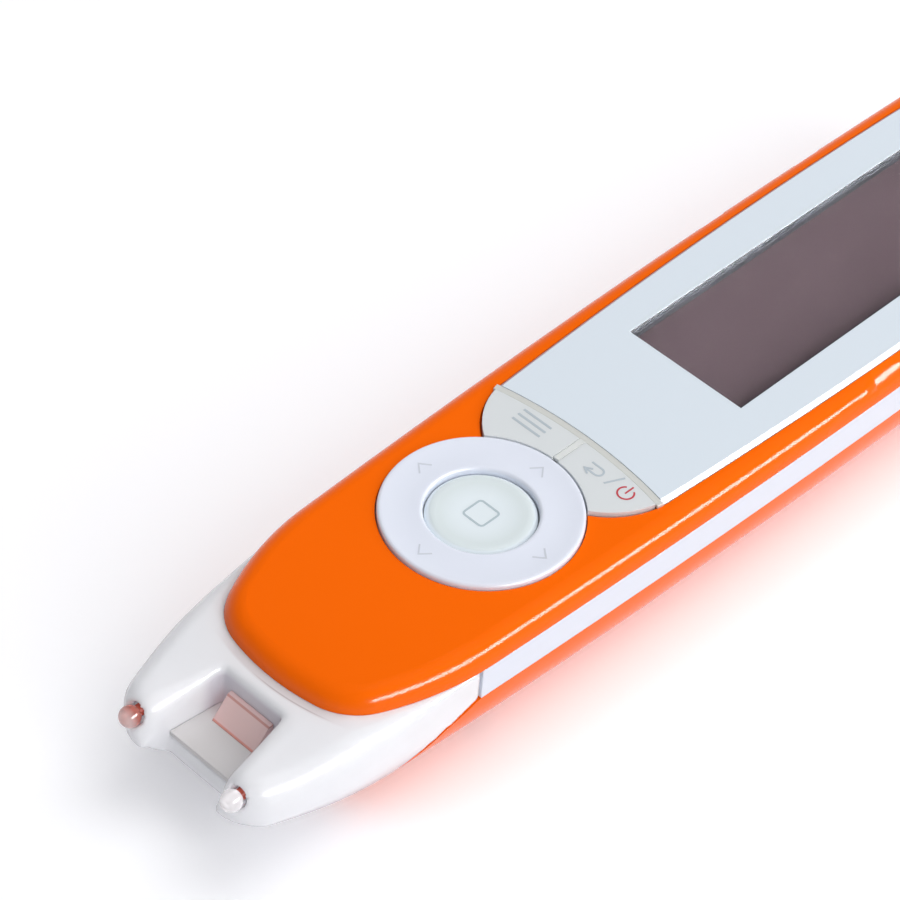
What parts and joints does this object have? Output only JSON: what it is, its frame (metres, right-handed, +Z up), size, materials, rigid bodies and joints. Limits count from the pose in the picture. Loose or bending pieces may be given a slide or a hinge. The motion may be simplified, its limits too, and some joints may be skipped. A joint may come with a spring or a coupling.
{
  "type": "reading pen",
  "caption": "Handheld scanning pen: orange case with a white band, clear two-prong nose, tilting ring with a centre button, two keys and a long display.",
  "frame": {"origin": "centre of the bounding box in plan, on the flat keel that the pen rests on", "axes": "+X from the nose to the tail, +Y to the far side of the picture, +Z up through the display"},
  "size_m": [0.146, 0.0336, 0.019],
  "materials": {
    "orange_plastic": "glossy",
    "white_plastic": "glossy",
    "panel_plastic": "satin",
    "key_plastic": "satin, translucent",
    "grey_plastic": "matte",
    "clear_plastic": "clear",
    "black_rubber": "matte",
    "pale_rubber": "matte",
    "display_glass": "glossy",
    "black_plastic": "matte",
    "amber_film": "satin",
    "bright_steel": "brushed",
    "board": "satin",
    "chip_plastic": "matte",
    "battery_foil": "satin",
    "foam": "foam",
    "black_metal": "satin",
    "lens_glass": "polished",
    "lamp_plastic": "glossy",
    "brown_plastic": "glossy"
  },
  "bodies": {
    "case": {"top_cover": "orange_plastic", "bottom_cover": "orange_plastic", "side_band": "white_plastic", "nose_housing": "clear_plastic", "display_panel": "panel_plastic", "display_window": "clear_plastic", "display_gasket": "black_rubber", "display_module": "display_glass", "display_carrier": "black_plastic", "display_flex": "amber_film", "key_frame": "grey_plastic", "key_switches": "bright_steel", "main_board": "board", "board_chips": "chip_plastic", "case_screws": "bright_steel", "battery": "battery_foil", "battery_pad": "foam", "speaker": "black_metal", "speaker_gasket": "foam", "audio_jack": "black_plastic", "usb_socket": "bright_steel", "optics_housing": "grey_plastic", "lens_barrel": "black_plastic", "camera_lens": "lens_glass", "sensor_board": "board", "image_sensor": "chip_plastic", "lamp_board": "board", "scan_lamps": "lamp_plastic", "scan_window": "clear_plastic", "guide_plate": "panel_plastic", "trigger_spring": "bright_steel", "trigger_switch": "bright_steel"},
    "ring_pad": {"nav_pad": "pale_rubber"},
    "ring": {"nav_ring": "white_plastic"},
    "ok": {"ok_button": "key_plastic"},
    "menu": {"menu_key": "key_plastic"},
    "power": {"power_key": "key_plastic"},
    "trigger": {"trigger_yoke": "brown_plastic", "left_foot_tip": "clear_plastic", "right_foot_tip": "clear_plastic"}
  },
  "joints": [
    {"name": "ring_rock_along", "type": "hinge", "parent": "case", "child": "ring_pad", "pos_m": [-0.02747, 0, 0.01604], "axis": [0, 1, 0], "range_deg": [-2, 2], "stiffness_Nm_per_rad": 0.05},
    {"name": "ring_rock_across", "type": "hinge", "parent": "ring_pad", "child": "ring", "pos_m": [-0.02747, 0, 0.01604], "axis": [1, 0, 0], "range_deg": [-2, 2], "stiffness_Nm_per_rad": 0.05},
    {"name": "ok_press", "type": "slide", "parent": "case", "child": "ok", "axis": [0, 0, -1], "range_m": [0, 0.0004], "stiffness_N_per_m": 300, "springref_m": -0.0004},
    {"name": "menu_press", "type": "slide", "parent": "case", "child": "menu", "axis": [0, 0, -1], "range_m": [0, 0.0004], "stiffness_N_per_m": 300, "springref_m": -0.0004},
    {"name": "power_press", "type": "slide", "parent": "case", "child": "power", "axis": [0, 0, -1], "range_m": [0, 0.0004], "stiffness_N_per_m": 300, "springref_m": -0.0004},
    {"name": "trigger_press", "type": "slide", "parent": "case", "child": "trigger", "axis": [1, 0, 0], "range_m": [0, 0.0006], "stiffness_N_per_m": 300, "springref_m": -0.0006, "deforming": ["trigger_spring"]}
  ]
}
